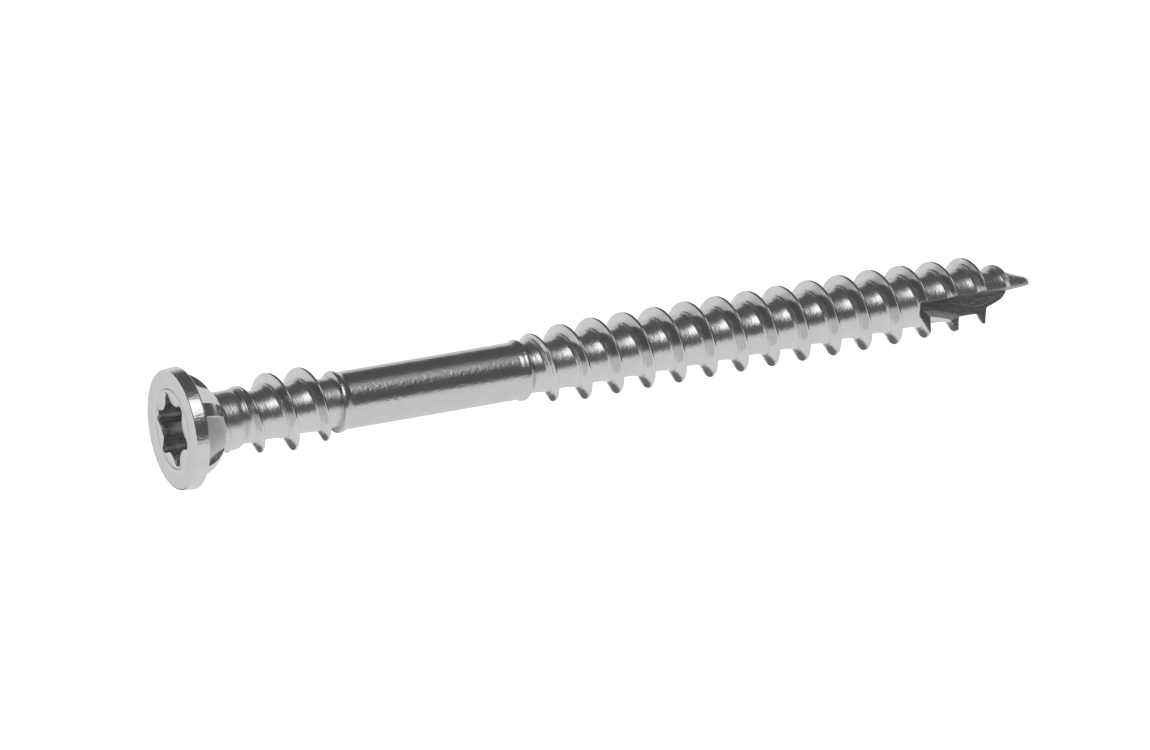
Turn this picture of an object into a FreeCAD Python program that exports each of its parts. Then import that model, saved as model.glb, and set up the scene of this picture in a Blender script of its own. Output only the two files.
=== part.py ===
import FreeCAD, Part
import math
import os

# Decking screw for timber, forged and thread-rolled from one length of stainless wire.
# Origin at the centre of the head's flat top face, +Z out of the head, so the shaft runs down -Z.
# All places along the screw are depths below that face, in millimetres.

# ---- driving dimensions ----
length = 60.0             # head face to tip
head_d = 7.64             # head, across the back of its rim
neck_d = 3.72             # plain neck under the head
core_d = 3.12             # root of both threads
shank_d = 3.62            # plain shank between the threads
thread_d = 5.0            # crest of both threads
pitch = 2.2               # rise of both threads in one turn
recess_d = 4.47           # six-lobe drive, size 25, across the lobes
recess_waist_d = 3.24     # six-lobe drive, across the waists between the lobes

# ---- head ----
rim_h = 0.9               # thickness of the head disc
rim_round = 0.1           # rounding of the rim's two edges
rim_draft = 0.08          # how much smaller the rim's radius is at the face, from the forging die
rib_inset = 0.37          # from the rim in to where the ribs start
cone_end_depth = 2.82     # where the ribbed cone meets the neck
cone_belly_depth = 1.85   # a place on the ribs' convex outline
cone_belly_share = 0.73   # the ribs' height there, as a share of their height under the disc
pocket_count = 5
pocket_floor_w = 3.3      # a pocket's floor, across, under the disc
pocket_side_deg = 30.0    # how far a pocket's two sides lean outwards
pocket_inset = 0.77       # from the rim in to the pocket's floor under the disc
pocket_middle_deg = -39.0 # direction of one pocket's middle

# ---- drive recess ----
lobes = 6
lobe_r = 0.375            # rounding of each lobe's tip
recess_depth = 1.9
recess_cone_depth = 0.5   # the conical floor below the straight walls

# ---- neck and fixing thread ----
neck_l = 1.18             # plain part of the neck
neck_taper_l = 0.5        # from the neck down to the core
fixing_end_depth = 10.8   # where the fixing thread runs out on the shank's first bead
fixing_crest_depth = 6.68 # one crest of the fixing thread, on the +X side
fixing_start_h = 0.25     # height of the fixing thread's tooth at both of its ends

# ---- shank ----
bead_rise = 0.13          # how far the beads stand above the shank
bead_l = 0.4
bead_slope_l = 0.15
shank_end_depth = 23.75   # back of the second bead
shank_taper_l = 0.35      # from the second bead down to the core

# ---- main thread ----
main_crest_lag = 2.68     # from the start of the main thread to a crest on the +X side
run_in_l = 3.8            # over which the crest rises to its full height
crest_taper_l = 11.0      # from the tip, over which the crest falls
tooth_base_w = 0.9
tooth_land_w = 0.1
head_flank_deg = 29.0     # slope of the tooth's side that faces the head
tooth_least_h = 0.04      # height at which a tooth that fades out stops
steps_per_turn = 20       # points per turn on each edge of a tooth

# ---- cut point ----
point_l = 8.8            # length of the flute
tip_r = 0.2               # blunt end
flute_wall_offset = 0.2   # the flute's upper wall, below the axis, at the flute's start
flute_wall_deg = 1.0      # how much that wall rises towards the tip
flute_floor_offset = 1.35 # the flute's floor, in front of the axis, at the flute's start
flute_floor_deg = 15.35    # how steeply the floor runs back through the axis

head_r = head_d / 2
neck_r = neck_d / 2
core_r = core_d / 2
shank_r = shank_d / 2
bead_r = shank_r + bead_rise
thread_r = thread_d / 2
rib_r = head_r - rib_inset
neck_end_depth = cone_end_depth + neck_l
core_start_depth = neck_end_depth + neck_taper_l
main_start_depth = shank_end_depth + shank_taper_l
point_start_depth = length - point_l
last_full_depth = point_start_depth - tooth_base_w / 2

# Both pairs run from the tip back: distance from the tip, then share of the full radius.
core_taper = ((6.5, 1.0), (4.5, 0.91), (2.6, 0.69), (1.7, 0.6), (0.8, 0.38))
crest_taper = (
    (crest_taper_l, 1.0),
    (7.2, 0.95),
    (4.7, 0.91),
    (3.4, 0.86),
    (2.6, 0.62),
    (1.2, 0.43),
    (0.9, 0.3),
)


def at(radius, depth, angle=0.0):
    """A point at this distance from the screw's axis and this depth below the head face."""
    turn = math.radians(angle)
    return FreeCAD.Vector(radius * math.cos(turn), radius * math.sin(turn), -depth)


def turned(outline):
    """A solid of revolution from (radius, depth) points."""
    corners = [at(radius, depth) for radius, depth in outline]
    face = Part.Face(Part.makePolygon(corners + corners[:1]))
    return face.revolve(FreeCAD.Vector(0, 0, 0), FreeCAD.Vector(0, 0, 1), 360)


def turned_curve(edges):
    """A solid of revolution from edges that close in the XZ plane."""
    face = Part.Face(Part.Wire(edges))
    return face.revolve(FreeCAD.Vector(0, 0, 0), FreeCAD.Vector(0, 0, 1), 360)


def save(node, shape):
    shape.exportStep("parts/" + node + ".step")


def recess_outline():
    """The six-lobe outline: small outer arcs at the lobes, large inward arcs at the waists."""
    lobe_centre = recess_d / 2 - lobe_r
    waist = recess_waist_d / 2
    half_step = math.pi / lobes
    over = lobe_r ** 2 - lobe_centre ** 2 - waist ** 2 + 2 * lobe_centre * waist * math.cos(half_step)
    under = 2 * waist - 2 * lobe_centre * math.cos(half_step) - 2 * lobe_r
    waist_r = over / under
    waist_centre = waist + waist_r
    # The arcs touch on the line between their centres.
    lobe_middle = at(lobe_centre, 0)
    between_centres = at(waist_centre, 0, 180 / lobes) - lobe_middle
    touch = lobe_middle + between_centres * (lobe_r / between_centres.Length)
    touch_r = math.hypot(touch.x, touch.y)
    touch_deg = math.degrees(math.atan2(touch.y, touch.x))
    step_deg = 360 / lobes
    arcs = []
    for k in range(lobes):
        middle = k * step_deg
        tip = at(recess_d / 2, 0, middle)
        dip = at(waist, 0, middle + step_deg / 2)
        before = at(touch_r, 0, middle - touch_deg)
        after = at(touch_r, 0, middle + touch_deg)
        following = at(touch_r, 0, middle + step_deg - touch_deg)
        arcs.append(Part.Arc(before, tip, after).toShape())
        arcs.append(Part.Arc(after, dip, following).toShape())
    return Part.Wire(arcs)


def drive_recess():
    walls = Part.Face(recess_outline()).extrude(FreeCAD.Vector(0, 0, -recess_depth))
    floor = Part.makeCone(
        recess_waist_d / 2, 0, recess_cone_depth, at(0, recess_depth), FreeCAD.Vector(0, 0, -1)
    )
    return walls.fuse(floor)


def head_disc(recess):
    """The flat face, the rim with its slight draft and rounded edges, and the disc's flat back."""
    front_r = head_r - rim_draft
    edge_in = rim_round * (1 - math.sqrt(0.5))
    rim_front = at(front_r, rim_round)
    rim_back = at(head_r, rim_h - rim_round)
    face_edge = at(front_r - rim_round, 0)
    back_edge = at(head_r - rim_round, rim_h)
    disc = turned_curve([
        Part.LineSegment(at(0, 0), face_edge).toShape(),
        Part.Arc(face_edge, at(front_r - edge_in, edge_in), rim_front).toShape(),
        Part.LineSegment(rim_front, rim_back).toShape(),
        Part.Arc(rim_back, at(head_r - edge_in, rim_h - edge_in), back_edge).toShape(),
        Part.LineSegment(back_edge, at(0, rim_h)).toShape(),
        Part.LineSegment(at(0, rim_h), at(0, 0)).toShape(),
    ])
    return disc.cut(recess)


def ribbed_cone(recess):
    """The countersunk cone under the disc: pockets with flat floors and leaning sides leave ribs."""
    belly = at(neck_r + (rib_r - neck_r) * cone_belly_share, cone_belly_depth)
    cone = turned_curve([
        Part.LineSegment(at(0, rim_h), at(rib_r, rim_h)).toShape(),
        Part.Arc(at(rib_r, rim_h), belly, at(neck_r, cone_end_depth)).toShape(),
        Part.LineSegment(at(neck_r, cone_end_depth), at(0, cone_end_depth)).toShape(),
        Part.LineSegment(at(0, cone_end_depth), at(0, rim_h)).toShape(),
    ])
    floor_r = head_r - pocket_inset
    beyond_r = head_r + 1
    outline = [
        at(floor_r, rim_h),
        at(beyond_r, rim_h),
        at(beyond_r, cone_end_depth),
        at(neck_r, cone_end_depth),
    ]
    above_floor = Part.Face(Part.makePolygon(outline + outline[:1])).extrude(FreeCAD.Vector(0, head_d, 0))
    above_floor.translate(FreeCAD.Vector(0, -head_r, 0))
    lean = math.tan(math.radians(pocket_side_deg))
    half = pocket_floor_w / 2 + (beyond_r - floor_r) * lean
    wedge = [
        at(floor_r - pocket_floor_w / 2 / lean, rim_h),
        at(beyond_r, rim_h) + FreeCAD.Vector(0, -half, 0),
        at(beyond_r, rim_h) + FreeCAD.Vector(0, half, 0),
    ]
    between_sides = Part.Face(Part.makePolygon(wedge + wedge[:1]))
    between_sides = between_sides.extrude(FreeCAD.Vector(0, 0, rim_h - cone_end_depth))
    pocket = above_floor.common(between_sides)
    for k in range(pocket_count):
        tool = pocket.copy()
        angle = pocket_middle_deg + k * 360 / pocket_count
        tool.rotate(FreeCAD.Vector(0, 0, 0), FreeCAD.Vector(0, 0, 1), angle)
        cone = cone.cut(tool)
    return cone.cut(recess)


def neck():
    return turned([
        (0, cone_end_depth),
        (neck_r, cone_end_depth),
        (neck_r, neck_end_depth),
        (core_r, core_start_depth),
        (0, core_start_depth),
    ])


def fixing_core():
    return turned([
        (0, core_start_depth),
        (core_r, core_start_depth),
        (core_r, fixing_end_depth),
        (0, fixing_end_depth),
    ])


def shank():
    """The plain shank, with a rolled bead at each end and a taper down to the main thread's core."""
    first = fixing_end_depth + bead_l
    second = shank_end_depth - bead_l
    return turned([
        (0, fixing_end_depth),
        (bead_r, fixing_end_depth),
        (bead_r, first),
        (shank_r, first + bead_slope_l),
        (shank_r, second - bead_slope_l),
        (bead_r, second),
        (bead_r, shank_end_depth),
        (core_r, main_start_depth),
        (0, main_start_depth),
    ])


def main_core():
    return turned([
        (0, main_start_depth),
        (core_r, main_start_depth),
        (core_r, point_start_depth),
        (0, point_start_depth),
    ])


def along(outline, depth):
    """The radius of a (radius, depth) outline at a depth, straight between its points."""
    for (r0, d0), (r1, d1) in zip(outline, outline[1:]):
        if depth <= d1:
            return r0 + (r1 - r0) * max(0.0, depth - d0) / (d1 - d0)
    return outline[-1][0]


def wound_tooth(crest_depth, first_depth, last_depth, root, crest):
    """A solid tooth on a right-hand helix with a crest at crest_depth on the +X side.

    Its middle runs between the two depths. root and crest are outlines that give its inner and outer
    radius. Both flanks keep their slope, so a lower tooth is a narrower one."""
    head_slope = math.tan(math.radians(head_flank_deg))
    tip_slope = (tooth_base_w - tooth_land_w) / (thread_r - core_r) - head_slope
    half_land = tooth_land_w / 2
    steps = math.ceil((last_depth - first_depth) / pitch * steps_per_turn)
    corners = [[], [], [], []]
    for k in range(steps + 1):
        depth = first_depth + (last_depth - first_depth) * k / steps
        angle = (crest_depth - depth) / pitch * 360
        outer = along(crest, depth)
        height = max(outer - along(root, depth), tooth_least_h)
        head_root = depth - half_land - height * head_slope
        tip_root = depth + half_land + height * tip_slope
        corners[0].append(at(along(root, head_root), head_root, angle))
        corners[1].append(at(outer, depth - half_land, angle))
        corners[2].append(at(outer, depth + half_land, angle))
        corners[3].append(at(along(root, tip_root), tip_root, angle))
    edges = []
    for points in corners:
        curve = Part.BSplineCurve()
        curve.interpolate(Points=points, Parameters=[float(k) for k in range(steps + 1)])
        edges.append(curve.toShape())
    faces = [Part.makeRuledSurface(edges[k], edges[(k + 1) % 4], 1) for k in range(4)]
    for end in (0, -1):
        section = [points[end] for points in corners]
        faces.append(Part.Face(Part.makePolygon(section + section[:1])))
    shell = Part.makeShell(faces)
    shell.sewShape()
    solid = Part.makeSolid(shell)
    if solid.Volume < 0:
        solid.reverse()
    return solid


def fixing_thread():
    """Draws the board down: it rises out of the neck and runs out on the shank's first bead."""
    root = [(core_r, core_start_depth), (core_r, fixing_end_depth)]
    first = core_start_depth + tooth_base_w / 2
    last = fixing_end_depth - tooth_base_w / 2
    crest = [
        (core_r + fixing_start_h, first),
        (thread_r, first + 0.7 * pitch),
        (thread_r, last - 0.6 * pitch),
        (core_r + fixing_start_h, last),
    ]
    return wound_tooth(fixing_crest_depth, first, last, root, crest)


def main_crest():
    """The main thread's crest from its start to the last full turn before the flute."""
    rise = thread_r - core_r
    first = main_start_depth + tooth_base_w / 4
    return [
        (core_r + tooth_least_h, first),
        (core_r + 0.65 * rise, first + 0.13 * run_in_l),
        (core_r + 0.9 * rise, first + 0.6 * run_in_l),
        (thread_r, main_start_depth + run_in_l),
    ] + [(thread_r * share, length - back) for back, share in crest_taper]


def main_thread():
    crest = main_crest()
    root = [(core_r, main_start_depth), (core_r, point_start_depth)]
    crest_depth = main_start_depth + main_crest_lag
    return wound_tooth(crest_depth, crest[0][1], last_full_depth, root, crest)


def flute():
    """What the cutter removes: a long corner with one wall along the axis and an inclined floor."""
    reach = thread_d
    beyond = point_l + 1
    run = beyond * math.tan(math.radians(flute_floor_deg))
    outline = [
        FreeCAD.Vector(-flute_wall_offset, -flute_floor_offset, -point_start_depth),
        FreeCAD.Vector(-flute_wall_offset, -flute_floor_offset + run, -point_start_depth - beyond),
        FreeCAD.Vector(-flute_wall_offset, -reach, -point_start_depth - beyond),
        FreeCAD.Vector(-flute_wall_offset, -reach, -point_start_depth),
    ]
    tool = Part.Face(Part.makePolygon(outline + outline[:1])).extrude(FreeCAD.Vector(-reach, 0, 0))
    hinge = FreeCAD.Vector(-flute_wall_offset, 0, -point_start_depth)
    tool.rotate(hinge, FreeCAD.Vector(0, 1, 0), -flute_wall_deg)
    return tool


def point_core():
    outline = [(core_r, point_start_depth)]
    outline += [(core_r * share, length - back) for back, share in core_taper]
    return outline + [(tip_r, length)]


def cut_point():
    """The core drawn down to a blunt point, with the flute cut through it."""
    return turned([(0, point_start_depth)] + point_core() + [(0, length)]).cut(flute())


def point_thread():
    """The last turns, falling away with the point and cut across by the flute."""
    root = [(core_r, main_start_depth)] + point_core()
    crest_depth = main_start_depth + main_crest_lag
    last = length - crest_taper[-1][0]
    return wound_tooth(crest_depth, last_full_depth, last, root, main_crest()).cut(flute())


os.makedirs("parts", exist_ok=True)
recess = drive_recess()
save("head_disc", head_disc(recess))
save("ribbed_cone", ribbed_cone(recess))
save("neck", neck())
save("fixing_core", fixing_core())
save("fixing_thread", fixing_thread())
save("shank", shank())
save("main_core", main_core())
save("main_thread", main_thread())
save("cut_point", cut_point())
save("point_thread", point_thread())
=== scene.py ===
import math

import bmesh
import bpy
from mathutils import Matrix, Vector


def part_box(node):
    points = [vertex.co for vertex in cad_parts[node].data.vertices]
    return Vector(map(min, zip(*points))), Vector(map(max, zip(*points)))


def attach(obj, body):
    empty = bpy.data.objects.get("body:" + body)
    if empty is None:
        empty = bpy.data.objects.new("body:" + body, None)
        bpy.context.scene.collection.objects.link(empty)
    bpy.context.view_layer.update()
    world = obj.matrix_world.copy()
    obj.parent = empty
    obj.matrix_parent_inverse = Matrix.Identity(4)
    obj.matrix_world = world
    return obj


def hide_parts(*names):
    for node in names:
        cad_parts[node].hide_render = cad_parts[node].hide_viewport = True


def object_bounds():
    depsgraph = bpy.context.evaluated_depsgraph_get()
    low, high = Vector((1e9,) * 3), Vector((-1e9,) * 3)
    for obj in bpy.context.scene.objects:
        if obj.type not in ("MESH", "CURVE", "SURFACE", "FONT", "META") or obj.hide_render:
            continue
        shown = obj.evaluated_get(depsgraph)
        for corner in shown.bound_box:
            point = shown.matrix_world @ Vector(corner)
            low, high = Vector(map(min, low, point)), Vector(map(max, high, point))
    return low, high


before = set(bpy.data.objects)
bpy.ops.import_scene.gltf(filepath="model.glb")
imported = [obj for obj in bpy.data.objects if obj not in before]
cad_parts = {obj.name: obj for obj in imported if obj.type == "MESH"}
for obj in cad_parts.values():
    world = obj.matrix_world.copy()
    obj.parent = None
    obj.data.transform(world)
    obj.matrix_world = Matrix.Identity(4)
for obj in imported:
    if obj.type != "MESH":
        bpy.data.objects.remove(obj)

MM = 0.001
cad_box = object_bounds()


# Studio: a pale floor well below the hanging screw, and a long-lens camera that looks along its shaft
# from the head's side. The light is a large soft white wall under and behind the screw, with a gap
# in it and a fall-off beyond the tip, a weak strip light, a key light, and dim room light around.
class Flow:
    """A socket of a node tree. Sums of it add Math nodes."""

    def __init__(self, tree, socket):
        self.tree = tree
        self.socket = socket

    def sum(self, operation, first, second):
        return self.tree.node("ShaderNodeMath", {"operation": operation}, {0: first, 1: second})

    def __add__(self, other):
        return self.sum("ADD", self, other)

    def __radd__(self, other):
        return self.sum("ADD", other, self)

    def __sub__(self, other):
        return self.sum("SUBTRACT", self, other)

    def __rsub__(self, other):
        return self.sum("SUBTRACT", other, self)

    def __mul__(self, other):
        return self.sum("MULTIPLY", self, other)

    def __rmul__(self, other):
        return self.sum("MULTIPLY", other, self)


class Tree:
    """A node tree, with one way to add a node to it."""

    def __init__(self, owner):
        owner.use_nodes = True
        self.tree = owner.node_tree
        self.tree.nodes.clear()

    def node(self, kind, settings=None, sockets=None, out=0):
        """Adds a node, gives it its settings, then the values or links of its sockets."""
        made = self.tree.nodes.new(kind)
        for name, value in (settings or {}).items():
            if name == "stops":
                ramp = made.color_ramp
                for place, shade in value[1:-1]:
                    ramp.elements.new(place).color = (shade, shade, shade, 1)
                for stop, (place, shade) in ((ramp.elements[0], value[0]), (ramp.elements[-1], value[-1])):
                    stop.position = place
                    stop.color = (shade, shade, shade, 1)
            else:
                setattr(made, name, value)
        for name, value in (sockets or {}).items():
            if isinstance(value, Flow):
                self.tree.links.new(value.socket, made.inputs[name])
            else:
                made.inputs[name].default_value = value
        return Flow(self, made.outputs[out]) if made.outputs else None


floor_z = cad_box[0].z - 0.19
bpy.ops.mesh.primitive_grid_add(x_subdivisions=4, y_subdivisions=4, size=12, location=(0, 0, floor_z))
floor = bpy.context.object
floor.name = "floor"
floor.visible_glossy = False
floor_paint = bpy.data.materials.new("pale_floor")
tree = Tree(floor_paint)
wash = tree.node("ShaderNodeBsdfDiffuse", sockets={"Color": (0.9, 0.9, 0.9, 1)})
glow = tree.node("ShaderNodeEmission", sockets={"Color": (1, 1, 1, 1), "Strength": 0.75})
lit = tree.node("ShaderNodeAddShader", sockets={0: wash, 1: glow})
tree.node("ShaderNodeOutputMaterial", sockets={"Surface": lit})
floor.data.materials.append(floor_paint)

world = bpy.data.worlds.new("soft_studio")
bpy.context.scene.world = world
tree = Tree(world)
direction = tree.node("ShaderNodeTexCoord", out=0)


def towards(x, y, z):
    """How far the view's direction points towards a place in the studio, from -1 to 1."""
    aim = Vector((x, y, z)).normalized()
    return tree.node("ShaderNodeVectorMath", {"operation": "DOT_PRODUCT"}, {0: direction, 1: aim}, out=1)


def step(value, start, end, low_light, high_light):
    limits = {"From Min": start, "From Max": end, "To Min": low_light, "To Max": high_light}
    return tree.node("ShaderNodeMapRange", {"interpolation_type": "SMOOTHSTEP"}, {"Value": value, **limits})


wall = step(towards(-0.777, 0.629, 0.0), -0.24, -0.10, 0.0, 0.66)
gap = step(towards(-0.25, 0.95, 0.08), 0.93, 0.975, 1.0, 0.08)
beyond_tip = step(towards(-0.05, -0.05, -1.0), 0.87, 0.99, 1.0, 0.25)
strip = step(towards(0.664, -0.619, -0.419), 0.955, 0.995, 0.0, 0.25)
key = step(towards(0.56, -0.83, 0.0), 0.92, 0.985, 0.0, 1.55)
light = wall * gap * beyond_tip + strip + key + 0.1
shown = tree.node("ShaderNodeLightPath", out=0)
both = tree.node("ShaderNodeMix", {"data_type": "FLOAT"}, {0: shown, 2: light, 3: 0.97})
studio = tree.node("ShaderNodeBackground", sockets={"Color": both, "Strength": 1.0})
tree.node("ShaderNodeOutputWorld", sockets={"Surface": studio})

camera = bpy.data.objects.new("camera", bpy.data.cameras.new("camera"))
bpy.context.collection.objects.link(camera)
bpy.context.scene.camera = camera
camera.data.sensor_width = 36
camera.data.lens = 264.2
camera.data.clip_start = 0.01
camera.data.clip_end = 50
look_right = Vector((-0.1713, -0.4129, -0.8945)).normalized()
look_back = Vector((0, -0.908, 0.4191)).normalized()
look_up = look_back.cross(look_right).normalized()
turn = Matrix((look_right, look_up, look_back)).transposed()
camera.matrix_world = Matrix.Translation(Vector((-0.9, -479.0, 193.7)) * MM) @ turn.to_4x4()
bpy.context.scene.view_settings.view_transform = "Standard"


# Head: upset cold from the wire in one blow. A flat disc with a rounded rim carries the six-lobe
# drive recess, and five ribs stand between the pockets of the cone under it. Bright stainless
# steel, coined smooth on its face and brushed along the axis on its rim.
disc_low, disc_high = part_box("head_disc")
cone_low, cone_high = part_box("ribbed_cone")
neck_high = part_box("neck")[1]
head_r = disc_high.x / MM
rim_h = -disc_low.z / MM
rib_r = cone_high.x / MM
cone_end = -cone_low.z / MM
neck_r = neck_high.x / MM
rim_round = 0.1
front_r = head_r - 0.08
waist = 3.24
edge_round = 0.14
segments = 720


def lobe_radius(angle, across=4.47, tip=0.375, lobes=6):
    """The six-lobe outline's radius in a direction, in millimetres."""
    half = math.pi / lobes
    off = abs((angle + half) % (2 * half) - half)
    out = across / 2 - tip
    dip = waist / 2
    over = tip ** 2 - out ** 2 - dip ** 2 + 2 * out * dip * math.cos(half)
    bulge = over / (2 * dip - 2 * out * math.cos(half) - 2 * tip)
    far = dip + bulge
    along = Vector((far * math.cos(half) - out, far * math.sin(half)))
    touch = Vector((out, 0)) + along * (tip / along.length)
    if off < math.atan2(touch.y, touch.x):
        return out * math.cos(off) + math.sqrt(tip ** 2 - (out * math.sin(off)) ** 2)
    side = half - off
    return far * math.cos(side) - math.sqrt(bulge ** 2 - (far * math.sin(side)) ** 2)


def belly(depth):
    """The convex outline over the ribs: one arc from the disc's back through the belly to the neck."""
    ax, ay = rib_r, rim_h
    bx, by = neck_r + 0.73 * (rib_r - neck_r), 1.85
    cx, cy = neck_r, cone_end
    d = 2 * (ax * (by - cy) + bx * (cy - ay) + cx * (ay - by))
    a2, b2, c2 = ax * ax + ay * ay, bx * bx + by * by, cx * cx + cy * cy
    ux = (a2 * (by - cy) + b2 * (cy - ay) + c2 * (ay - by)) / d
    uy = (a2 * (cx - bx) + b2 * (ax - cx) + c2 * (bx - ax)) / d
    radius = math.hypot(ax - ux, ay - uy)
    return ux + math.sqrt(max(0, radius ** 2 - (depth - uy) ** 2))


def blend_max(a, b, soft):
    """The larger of two radii, with a fillet of about this size where they cross."""
    if abs(a - b) >= soft:
        return max(a, b)
    return max(a, b) + (soft - abs(a - b)) ** 2 / (4 * soft)


def under_head(angle, depth, pockets=5, floor_w=3.3, middle=math.radians(-39)):
    """Radius of the ribbed cone: the arc, or the rounded floor and leaning sides of a pocket."""
    pitch_angle = 2 * math.pi / pockets
    off = abs((angle - middle + pitch_angle / 2) % pitch_angle - pitch_angle / 2)
    at_rim = head_r - 0.77
    floor_at = at_rim + (neck_r - at_rim) * (depth - rim_h) / (cone_end - rim_h)
    lean = math.radians(30)
    side = (floor_w / 2 * math.cos(lean) - at_rim * math.sin(lean)) / min(-1e-6, math.sin(off - lean))
    pocket = blend_max(floor_at / math.cos(off) ** 0.75, side, 0.08)
    return min(belly(depth), pocket)


def head_rows(angle):
    """(radius, depth) from the middle of the recess out over the face and rim, and down to the neck."""
    lobe = lobe_radius(angle)
    floor = waist / 2
    rows = [(0, 2.4), (floor * 0.35, 2.26), (floor * 0.7, 2.06), (floor * 0.93, 1.93), (lobe * 0.97, 1.9)]
    rows += [(lobe * (0.99 + 0.01 * (1.85 - d)), d) for d in (1.85, 1.6, 1.2, 0.8, 0.4, 0.14)]
    for k in range(1, 7):
        turn_by = k * math.pi / 12
        rows.append((lobe + edge_round * (1 - math.cos(turn_by)), edge_round * (1 - math.sin(turn_by))))
    rows += [(2.38, 0), (2.43, 0.004), (2.47, 0.025), (2.51, 0.025), (2.55, 0.004), (2.6, 0)]
    rows += [(2.9, 0), (3.3, 0), (front_r - rim_round - 0.05, 0)]
    for k in range(7):
        turn_by = k * math.pi / 12
        radius = front_r - rim_round * (1 - math.sin(turn_by))
        rows.append((radius, rim_round * (1 - math.cos(turn_by))))
    for k in range(1, 7):
        rows.append((front_r + (head_r - front_r) * k / 7, rim_round + (rim_h - 2 * rim_round) * k / 7))
    for k in range(7):
        turn_by = k * math.pi / 12
        radius = head_r - rim_round * (1 - math.cos(turn_by))
        rows.append((radius, rim_h - rim_round * (1 - math.sin(turn_by))))
    rows.append((rib_r + 0.02, rim_h))
    count = 44
    for k in range(count + 1):
        depth = rim_h + (cone_end - rim_h) * k / count
        rows.append((under_head(angle, depth), depth))
    rows += [(neck_r, cone_end + 0.05), (neck_r - 0.2, cone_end + 0.1), (0, cone_end + 0.1)]
    return rows


def lathe(name, rows_at, count, material, sharp=35, inner_rows=0, inner=None):
    """A closed mesh from a function that gives (radius, depth) rows for each direction round the axis.

    The first inner_rows rows of faces can have an inner material of their own."""
    work = bmesh.new()
    columns = []
    for k in range(count):
        angle = 2 * math.pi * k / count
        column = []
        for radius, depth in rows_at(angle):
            place = Vector((radius * math.cos(angle), radius * math.sin(angle), -depth)) * MM
            column.append(work.verts.new(place))
        columns.append(column)
    for k in range(count):
        here, there = columns[k], columns[(k + 1) % count]
        for j in range(len(here) - 1):
            face = work.faces.new((here[j], here[j + 1], there[j + 1], there[j]))
            face.material_index = 1 if j < inner_rows else 0
    bmesh.ops.remove_doubles(work, verts=work.verts, dist=1e-7)
    piece = show(name, work, material, sharp)
    if inner:
        piece.data.materials.append(inner)
    return piece


def show(name, work, material, sharp):
    """Turns the faces outwards, keeps the real edges crisp, and makes the finished piece."""
    bmesh.ops.recalc_face_normals(work, faces=work.faces)
    mesh = bpy.data.meshes.new(name)
    work.to_mesh(mesh)
    work.free()
    mesh.shade_smooth()
    mesh.set_sharp_from_angle(angle=math.radians(sharp))
    piece = bpy.data.objects.new(name, mesh)
    bpy.context.collection.objects.link(piece)
    mesh.materials.append(material)
    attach(piece, "root")
    return piece


def steel(name, grey, polish, grain, grain_size, grain_depth, bare, stretch=(1, 1, 1)):
    """Bright stainless steel. Its roughness goes from polish to grain between the two radii of bare,
    and there it has a grain in spots of grain_size mm, drawn out by stretch."""
    material = bpy.data.materials.new(name)
    tree = Tree(material)
    place = tree.node("ShaderNodeTexCoord", out=3)
    scale = [1 / (MM * grain_size * s) for s in stretch]
    drawn = tree.node("ShaderNodeVectorMath", {"operation": "MULTIPLY"}, {0: place, 1: scale})
    noise = {"Vector": drawn, "Scale": 1.0, "Detail": 3.0, "Roughness": 0.6}
    spots = tree.node("ShaderNodeTexNoise", sockets=noise)
    wide = tree.node("ShaderNodeTexNoise", sockets={"Vector": place, "Scale": 900.0, "Detail": 2.0})
    flat = tree.node("ShaderNodeVectorMath", {"operation": "MULTIPLY"}, {0: place, 1: (1, 1, 0)})
    radius = tree.node("ShaderNodeVectorMath", {"operation": "LENGTH"}, {0: flat}, out=1)
    limits = {"From Min": bare[0] * MM, "From Max": bare[1] * MM}
    share = tree.node("ShaderNodeMapRange", sockets={"Value": radius, **limits})
    shade = tree.node(
        "ShaderNodeMix",
        {"data_type": "RGBA"},
        {0: wide, 6: [grey * 0.9] * 3 + [1], 7: [grey * 1.06, grey * 1.06, grey * 1.05, 1]},
        out=2,
    )
    roughness = polish + share * (grain - polish + 0.5 * grain * (spots - 0.5)) + 0.06 * (wide - 0.5)
    height = spots * share
    relief = {"Strength": 1.0, "Distance": grain_depth * MM, "Height": height}
    bump = tree.node("ShaderNodeBump", sockets=relief)
    metal = tree.node(
        "ShaderNodeBsdfPrincipled",
        sockets={"Base Color": shade, "Metallic": 1.0, "Roughness": roughness, "Normal": bump},
    )
    tree.node("ShaderNodeOutputMaterial", sockets={"Surface": metal})
    return material


rim_band = (front_r - 0.05, front_r - 0.01)
coined_steel = steel("coined_steel", 0.78, 0.2, 0.16, 0.12, 0.014, rim_band, (1, 1, 3))
# The recess floor and walls get a darker grey steel of their own: painted shade deep in the drive recess.
recess_shade_steel = steel("recess_shade_steel", 0.62, 0.22, 0.22, 0.3, 0.012, (0, 0.1))
head = lathe("head", head_rows, segments, coined_steel, inner_rows=11, inner=recess_shade_steel)
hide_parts("head_disc", "ribbed_cone")


# Neck and fixing thread: about three right-hand turns rolled into the wire just under the head,
# which pull the board down. The rolls leave a fine line along the crest and streaks round the core.
core_low, core_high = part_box("fixing_core")
thread_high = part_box("main_thread")[1]
shank_low, shank_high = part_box("shank")
core_r = core_high.x / MM
neck_end = cone_end + 1.18
core_start = -core_high.z / MM
fixing_end = -core_low.z / MM
thread_r = thread_high.x / MM
bead_r = shank_high.x / MM
pitch = 2.2
tooth_land = 0.1
head_slope = math.tan(math.radians(29))
tip_slope = 0.8 / (thread_r - core_r) - head_slope
tooth_least = 0.02
swell = 0.12


def between(outline, depth):
    """The value of (depth, value) points at a depth, straight between them."""
    for (d0, v0), (d1, v1) in zip(outline, outline[1:]):
        if depth <= d1:
            return v0 + (v1 - v0) * max(0, depth - d0) / (d1 - d0)
    return outline[-1][1]


def tooth_height(crest, root, middle):
    return max(tooth_least, between(crest, middle) - between(root, middle))


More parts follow.
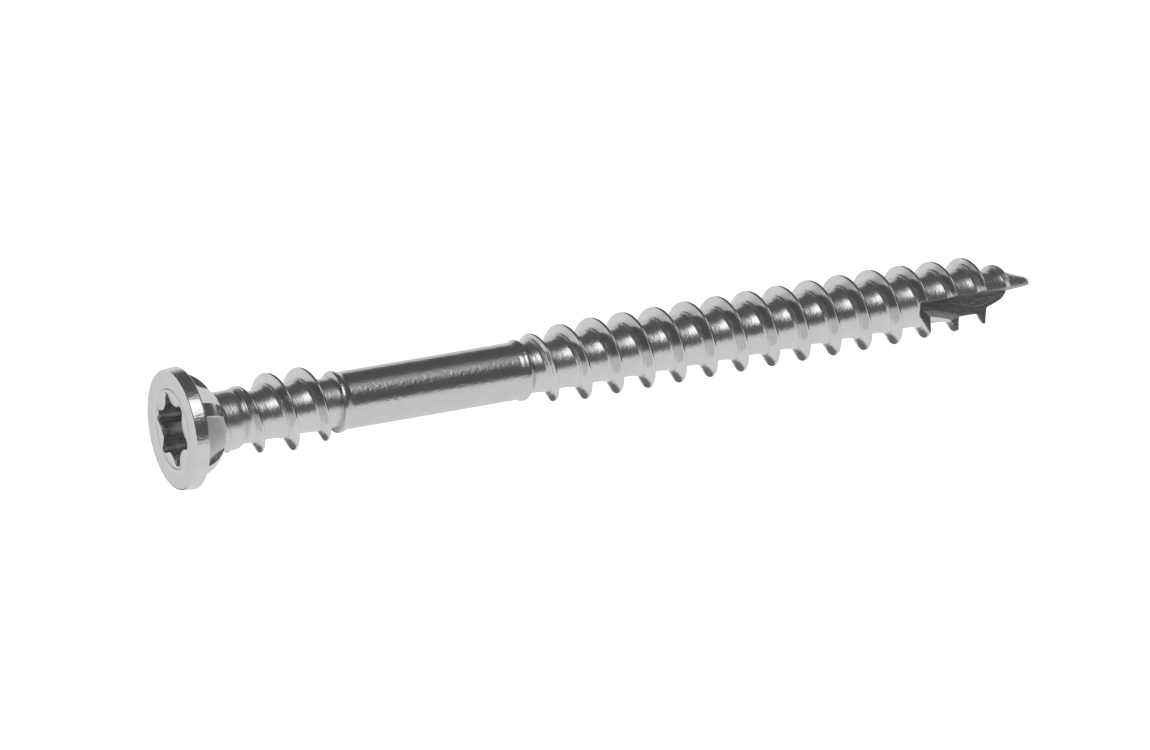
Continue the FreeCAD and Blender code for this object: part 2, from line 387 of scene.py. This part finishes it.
def tooth_radius(angle, depth, crest_depth, crest):
    """The radius of the tooth flanks at a place, from the nearest turn above and below it."""
    turns = (depth - crest_depth) / pitch + angle / (2 * math.pi)
    best = 0
    for turn_no in (math.floor(turns), math.floor(turns) + 1):
        middle = crest_depth + (turn_no - angle / (2 * math.pi)) * pitch
        top = between(crest, middle)
        off = depth - middle
        slope = head_slope if off < 0 else tip_slope
        fall = max(0, abs(off) - tooth_land / 2) / slope
        best = max(best, top - fall)
    return best


def wound(name, crest_depth, crest, root, soft, first, last, material, around=120, sharp=75):
    """A core with a tooth wound round it, as one closed mesh whose rows follow the helix.

    A row that would pass either end is that end's ring instead. Between two teeth the core swells a
    little towards the next one."""
    work = bmesh.new()
    start = math.floor((first - crest_depth) / pitch) - 1
    stop = math.ceil((last - crest_depth) / pitch) + 2
    steps = (stop - start) * around

    def corner(angle, depth, lift):
        tooth = tooth_radius(angle, depth, crest_depth, crest)
        radius = blend_max(between(root, depth) + lift, tooth, between(soft, depth))
        place = Vector((radius * math.cos(angle), radius * math.sin(angle), -depth)) * MM
        return work.verts.new(place)

    first_ring = [corner(-2 * math.pi * k / around, first, 0) for k in range(around)]
    last_ring = [corner(-2 * math.pi * k / around, last, 0) for k in range(around)]
    strips = []
    for m in range(steps + 1):
        middle = crest_depth + start * pitch + pitch * m / around
        angle = -2 * math.pi * (m % around) / around
        height = tooth_height(crest, root, middle)
        following = tooth_height(crest, root, middle + pitch)
        edge = tooth_land / 2
        tip_foot = edge + height * tip_slope
        gap_end = pitch - edge - following * head_slope
        head_flank = height * head_slope
        places = [(-edge - head_flank * s, swell * height) for s in (1, 0.92, 0.7, 0.4, 0.16, 0.07)]
        places += [(edge * s, 0) for s in (-1, -0.33, 0.33, 1)]
        places += [(edge + height * tip_slope * s, 0) for s in (0.05, 0.15, 0.4, 0.7, 0.92)]
        for s in (0, 0.05, 0.12, 0.25, 0.4, 0.55, 0.68, 0.78, 0.87, 0.94):
            places.append((tip_foot + (gap_end - tip_foot) * s, swell * following * s ** 4))
        strip = []
        for off, lift in places:
            if middle + off <= first:
                strip.append(first_ring[m % around])
            elif middle + off >= last:
                strip.append(last_ring[m % around])
            else:
                strip.append(corner(angle, middle + off, lift))
        strips.append(strip)
    for m in range(steps):
        here, there = (
            strips[k] + [strips[k + around][0] if k + around <= steps else last_ring[k % around]]
            for k in (m, m + 1)
        )
        for j in range(len(here) - 1):
            corners = list(dict.fromkeys((here[j], here[j + 1], there[j + 1], there[j])))
            if len(corners) > 2:
                work.faces.new(corners)
    work.faces.new(first_ring)
    work.faces.new(last_ring)
    return show(name, work, material, sharp)


root_band = (core_r + 0.4, core_r + 0.31)
rolled_steel = steel("rolled_steel", 0.78, 0.15, 0.28, 0.34, 0.024, root_band, (1.2, 1.2, 0.5))
fixing_crest = [
    (neck_end, neck_r),
    (neck_end + 0.6, neck_r + 0.18),
    (5.6, 2.3),
    (6.64, thread_r),
    (8.9, thread_r),
    (10.0, 2.28),
    (10.8, bead_r),
    (11.5, core_r),
]
fixing_root = [
    (cone_end - 0.05, neck_r),
    (neck_end, neck_r),
    (core_start, core_r),
    (fixing_end + 0.1, core_r),
]
fixing_soft = [(neck_end, 0.4), (neck_end + 1.0, 0.25), (neck_end + 2.0, 0.07)]
fixing = wound(
    "fixing_thread_and_neck",
    6.68,
    fixing_crest,
    fixing_root,
    fixing_soft,
    cone_end - 0.03,
    fixing_end + 0.05,
    rolled_steel,
)
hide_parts("neck", "fixing_core", "fixing_thread")


# Shank: the plain wire between the threads, a little thicker than their core, with a bead at each
# end where the rolls pushed the metal up. Drawn bright, with a fine granular surface.
main_start = -shank_low.z / MM
shank_r = bead_r - 0.13


def shank_rows(angle):
    first = fixing_end
    back = main_start - 0.35
    rows = [(0, first), (core_r, first), (bead_r - 0.1, first + 0.02), (bead_r - 0.03, first + 0.06)]
    rows += [(bead_r, first + 0.14), (bead_r, first + 0.26), (bead_r - 0.04, first + 0.38)]
    rows += [(shank_r + 0.03, first + 0.5), (shank_r, first + 0.62)]
    rows += [(shank_r, first + 0.7 + (back - first - 1.4) * k / 12) for k in range(13)]
    rows += [(shank_r, back - 0.6), (shank_r + 0.03, back - 0.48), (bead_r - 0.04, back - 0.36)]
    rows += [(bead_r, back - 0.25), (bead_r, back - 0.12), (bead_r - 0.04, back - 0.02)]
    rows += [(core_r + 0.1, main_start - 0.1), (core_r, main_start), (0, main_start)]
    return rows


drawn_steel = steel("drawn_steel", 0.73, 0.13, 0.2, 0.2, 0.02, (0, core_r))
shank = lathe("shank", shank_rows, 180, drawn_steel)
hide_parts("shank")


# Main thread and cut point: the same right-hand thread rolled down to a blunt tip, and one flute
# milled through the last turns so that the screw drills its own hole. The flute is bare cut metal.
point_low, point_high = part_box("cut_point")
length = -point_low.z / MM
point_start = -point_high.z / MM
main_crest = [
    (main_start, core_r + 0.04),
    (main_start + 0.5, core_r + 0.61),
    (main_start + 2.65, core_r + 0.85),
    (main_start + 3.8, thread_r),
    (length - 11, thread_r),
    (length - 7.2, thread_r * 0.95),
    (length - 4.7, thread_r * 0.91),
    (length - 3.4, thread_r * 0.86),
    (length - 2.6, thread_r * 0.62),
    (length - 1.2, thread_r * 0.43),
    (length - 0.9, thread_r * 0.3),
    (length - 0.5, thread_r * 0.08),
]
main_root = [
    (main_start - 0.3, core_r),
    (length - 6.5, core_r),
    (length - 4.5, core_r * 0.91),
    (length - 2.6, core_r * 0.69),
    (length - 1.7, core_r * 0.6),
    (length - 0.8, core_r * 0.38),
    (length - 0.2, core_r * 0.24),
    (length, core_r * 0.12),
]
main_soft = [(main_start, 0.15), (main_start + 2.0, 0.07)]
main = wound(
    "main_thread_and_point",
    main_start + 2.68,
    main_crest,
    main_root,
    main_soft,
    main_start - 0.1,
    length,
    rolled_steel,
)
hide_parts("main_core", "main_thread", "cut_point", "point_thread")

milled_steel = steel("milled_steel", 0.33, 0.32, 0.32, 0.3, 0.12, (0, 0.1), (0.7, 0.7, 3))
work = bmesh.new()
bmesh.ops.create_cube(work, size=1)
reach, beyond = 5.0, 9.2
floor_y, floor_rise = -1.35, math.tan(math.radians(15.35))
wall_x, wall_rise, wall_lean = -0.22, math.tan(math.radians(1.3)), math.tan(math.radians(7))
for corner in work.verts:
    down = beyond if corner.co.z < 0 else 0
    y = floor_y + down * floor_rise if corner.co.y > 0 else -reach
    x = wall_x + down * wall_rise - wall_lean * (y - floor_y) if corner.co.x > 0 else -reach
    corner.co = Vector((x, y, -point_start - down)) * MM
mesh = bpy.data.meshes.new("flute_cutter")
work.to_mesh(mesh)
work.free()
mesh.materials.append(milled_steel)
cutter = bpy.data.objects.new("flute_cutter", mesh)
bpy.context.collection.objects.link(cutter)
main.data.materials.append(milled_steel)
cut = main.modifiers.new("flute", "BOOLEAN")
cut.operation = "DIFFERENCE"
cut.solver = "EXACT"
cut.material_mode = "TRANSFER"
cut.object = cutter
bpy.context.view_layer.update()
evaluated = main.evaluated_get(bpy.context.evaluated_depsgraph_get())
cut_mesh = bpy.data.meshes.new_from_object(evaluated)
main.modifiers.clear()
main.data = cut_mesh
bpy.data.objects.remove(cutter)
cut_mesh.set_sharp_from_angle(angle=math.radians(75))
